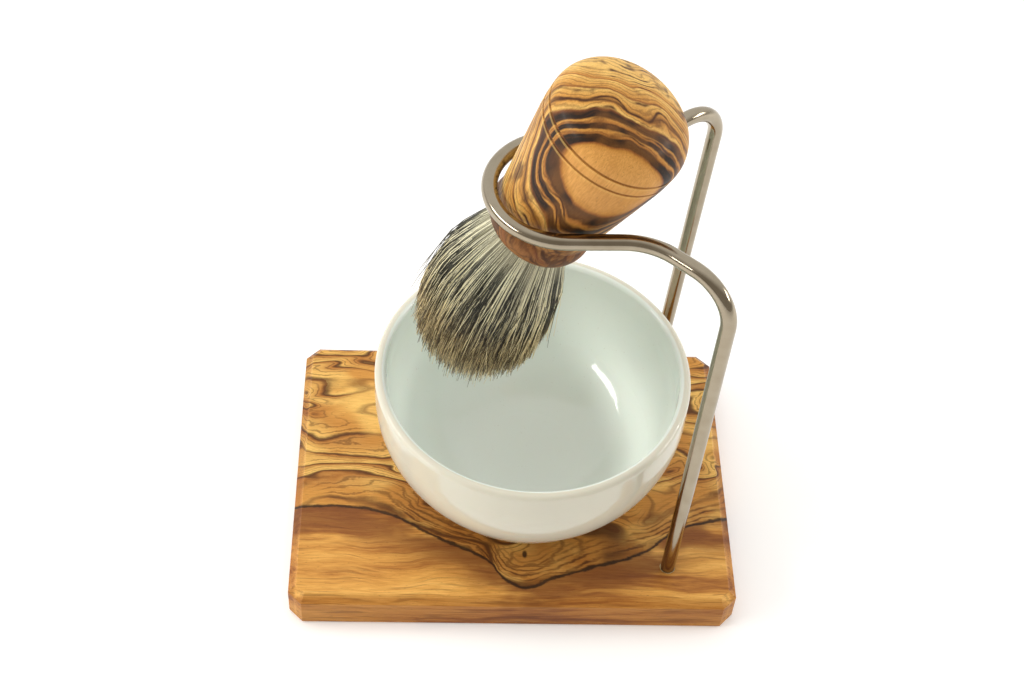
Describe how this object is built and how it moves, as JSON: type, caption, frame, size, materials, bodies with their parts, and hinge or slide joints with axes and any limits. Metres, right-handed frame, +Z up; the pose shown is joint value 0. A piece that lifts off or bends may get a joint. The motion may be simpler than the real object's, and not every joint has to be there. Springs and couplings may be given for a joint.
{
  "type": "shaving brush stand with bowl",
  "caption": "Olive-wood board with a bent steel rod whose ring holds a shaving brush, tilted, above a round porcelain lather bowl.",
  "frame": {"origin": "middle of the board's underside", "axes": "+X towards the rod's legs, +Y to the rear, +Z up"},
  "size_m": [0.15, 0.11, 0.1945],
  "materials": {
    "board_wood": "oiled olive wood, satin, brown and dark veins",
    "handle_wood": "oiled and polished olive wood, dark contour rings",
    "rod_steel": "polished stainless steel",
    "porcelain": "white glaze, glossy",
    "resin": "set epoxy",
    "thread": "waxed thread, wound",
    "hair": "badger hair, dark with light tips"
  },
  "bodies": {
    "root": {"base_board": "board_wood", "stand_rod": "rod_steel", "rod_glue_front": "resin", "rod_glue_rear": "resin"},
    "bowl": {"bowl": "porcelain"},
    "brush": {"brush_handle": "handle_wood", "knot_plug": "resin", "knot_band": "thread", "bristle_bundle": "hair"}
  },
  "joints": [
    {"name": "bowl_out", "type": "slide", "parent": "root", "child": "bowl", "axis": [-1, 0, 0], "range_m": [0, 0.14]},
    {"name": "brush_out", "type": "slide", "parent": "root", "child": "brush", "axis": [1, 0, 0], "range_m": [0, 0.12]}
  ]
}
